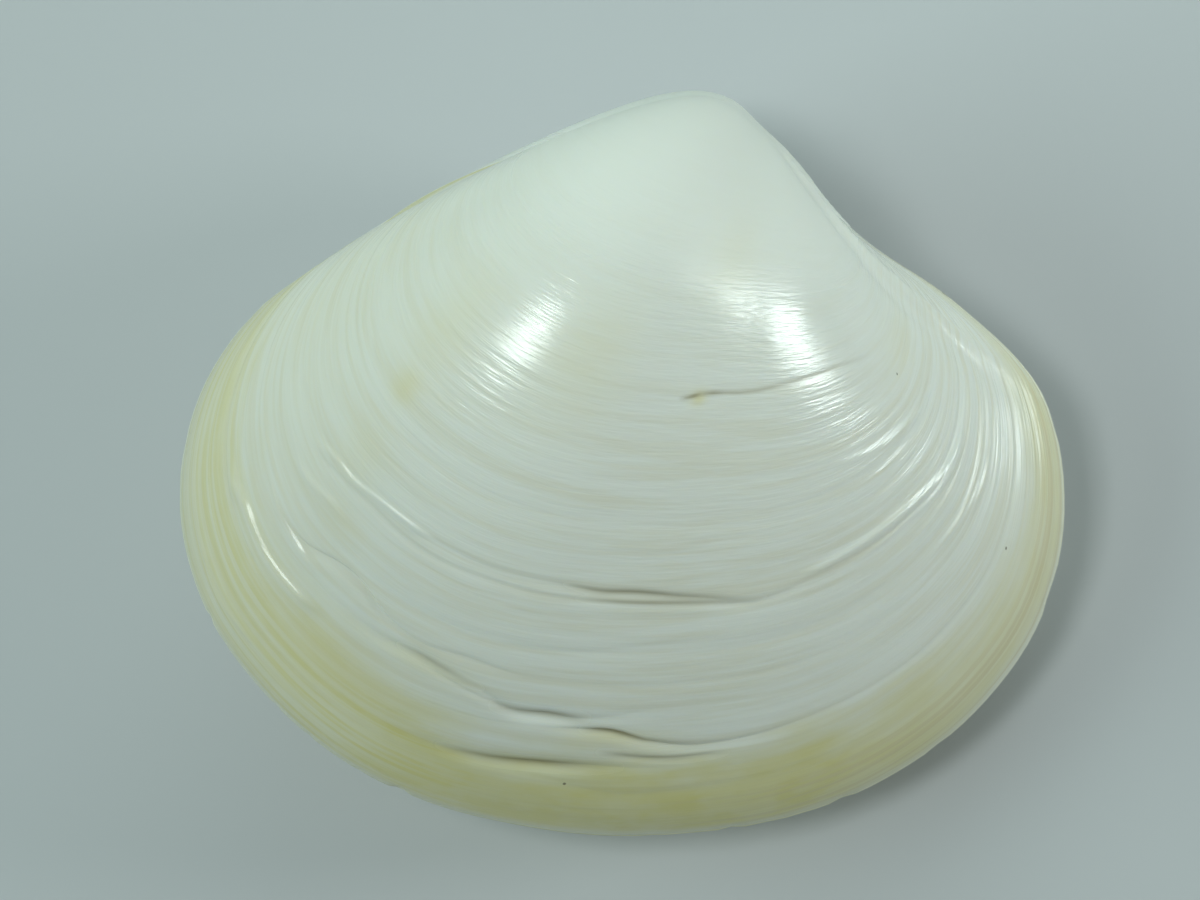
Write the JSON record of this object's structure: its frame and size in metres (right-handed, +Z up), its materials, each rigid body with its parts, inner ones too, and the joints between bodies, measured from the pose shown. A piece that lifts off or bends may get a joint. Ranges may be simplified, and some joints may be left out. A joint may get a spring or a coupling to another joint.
{
  "type": "bivalve clam shell",
  "caption": "Closed white clam shell with both valves, off-centre beaks, concentric growth lines and a yellowish margin, lying on one valve.",
  "frame": {"origin": "on the surface that the shell lies on, in the small flat on the crown of the left valve", "axes": "+X towards the front end of the animal along the shell's length, +Y towards the hinge side, +Z up, out of the right valve"},
  "size_m": [0.0497, 0.0429, 0.0297],
  "materials": {
    "right_valve_shell": "glossy, white with a yellowish margin",
    "left_valve_shell": "glossy, white with a yellowish margin",
    "ligament_horn": "dry, dark brown, satin"
  },
  "bodies": {
    "root": {"right_valve": "right_valve_shell", "left_valve": "left_valve_shell", "ligament": "ligament_horn"}
  },
  "joints": []
}
